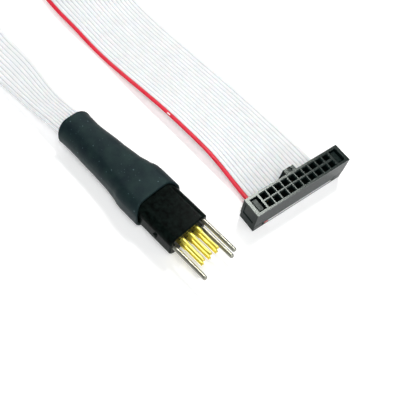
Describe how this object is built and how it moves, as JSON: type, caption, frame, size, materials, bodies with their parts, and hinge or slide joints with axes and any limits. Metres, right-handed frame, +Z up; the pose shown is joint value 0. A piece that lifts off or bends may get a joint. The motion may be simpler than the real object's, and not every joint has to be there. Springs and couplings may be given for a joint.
{
  "type": "programming probe cable",
  "caption": "Hand-held programming plug with sprung contact pins and steel guide pins, on a flat ribbon cable that folds into its boot and ends in a dual-row crimp socket.",
  "frame": {"origin": "centre of the plug and socket's common bounding box (the ribbon left out), on the bench plane they lie on", "axes": "+X the way the probes and guide pins point, +Z up from the bench, +Y from the plug towards the socket"},
  "size_m": [0.1415, 0.0579, 0.0263],
  "materials": {
    "head_plastic": "satin moulded black",
    "barrel_gold": "gold plated",
    "plunger_gold": "gold plated, polished",
    "spring_steel": "drawn wire",
    "pin_steel": "polished stainless",
    "boot_plastic": "matte shrunk tube",
    "wire_insulation": "PVC",
    "tinned_wire": "tinned copper strand",
    "solder": "bright solder",
    "socket_plastic": "glass-filled polyester",
    "contact_brass": "flash gold over nickel",
    "ribbon_pvc": "grey PVC with a red edge"
  },
  "bodies": {
    "cable": {"probe_head": "head_plastic", "probe_barrel_1": "barrel_gold", "probe_spring_1": "spring_steel", "probe_barrel_2": "barrel_gold", "probe_spring_2": "spring_steel", "probe_barrel_3": "barrel_gold", "probe_spring_3": "spring_steel", "probe_barrel_4": "barrel_gold", "probe_spring_4": "spring_steel", "probe_barrel_5": "barrel_gold", "probe_spring_5": "spring_steel", "probe_barrel_6": "barrel_gold", "probe_spring_6": "spring_steel", "guide_pin_single": "pin_steel", "guide_pin_pair_upper": "pin_steel", "guide_pin_pair_lower": "pin_steel", "heat_shrink_boot": "boot_plastic", "lead_wires": "wire_insulation", "wire_strands": "tinned_wire", "solder_joints": "solder", "socket_body": "socket_plastic", "socket_cap": "socket_plastic", "contacts_ribbon_side": "contact_brass", "contacts_open_side": "contact_brass", "ribbon_cable": "ribbon_pvc"},
    "plunger_1": {"probe_plunger_1": "plunger_gold"},
    "plunger_2": {"probe_plunger_2": "plunger_gold"},
    "plunger_3": {"probe_plunger_3": "plunger_gold"},
    "plunger_4": {"probe_plunger_4": "plunger_gold"},
    "plunger_5": {"probe_plunger_5": "plunger_gold"},
    "plunger_6": {"probe_plunger_6": "plunger_gold"}
  },
  "joints": [
    {"name": "plunger_1_press", "type": "slide", "parent": "cable", "child": "plunger_1", "axis": [-1, 0, 0], "range_m": [0, 0.0042], "stiffness_N_per_m": 430, "springref_m": -0.001, "deforming": ["probe_spring_1"]},
    {"name": "plunger_2_press", "type": "slide", "parent": "cable", "child": "plunger_2", "axis": [-1, 0, 0], "range_m": [0, 0.0042], "stiffness_N_per_m": 430, "springref_m": -0.001, "deforming": ["probe_spring_2"]},
    {"name": "plunger_3_press", "type": "slide", "parent": "cable", "child": "plunger_3", "axis": [-1, 0, 0], "range_m": [0, 0.0042], "stiffness_N_per_m": 430, "springref_m": -0.001, "deforming": ["probe_spring_3"]},
    {"name": "plunger_4_press", "type": "slide", "parent": "cable", "child": "plunger_4", "axis": [-1, 0, 0], "range_m": [0, 0.0042], "stiffness_N_per_m": 430, "springref_m": -0.001, "deforming": ["probe_spring_4"]},
    {"name": "plunger_5_press", "type": "slide", "parent": "cable", "child": "plunger_5", "axis": [-1, 0, 0], "range_m": [0, 0.0042], "stiffness_N_per_m": 430, "springref_m": -0.001, "deforming": ["probe_spring_5"]},
    {"name": "plunger_6_press", "type": "slide", "parent": "cable", "child": "plunger_6", "axis": [-1, 0, 0], "range_m": [0, 0.0042], "stiffness_N_per_m": 430, "springref_m": -0.001, "deforming": ["probe_spring_6"]}
  ]
}
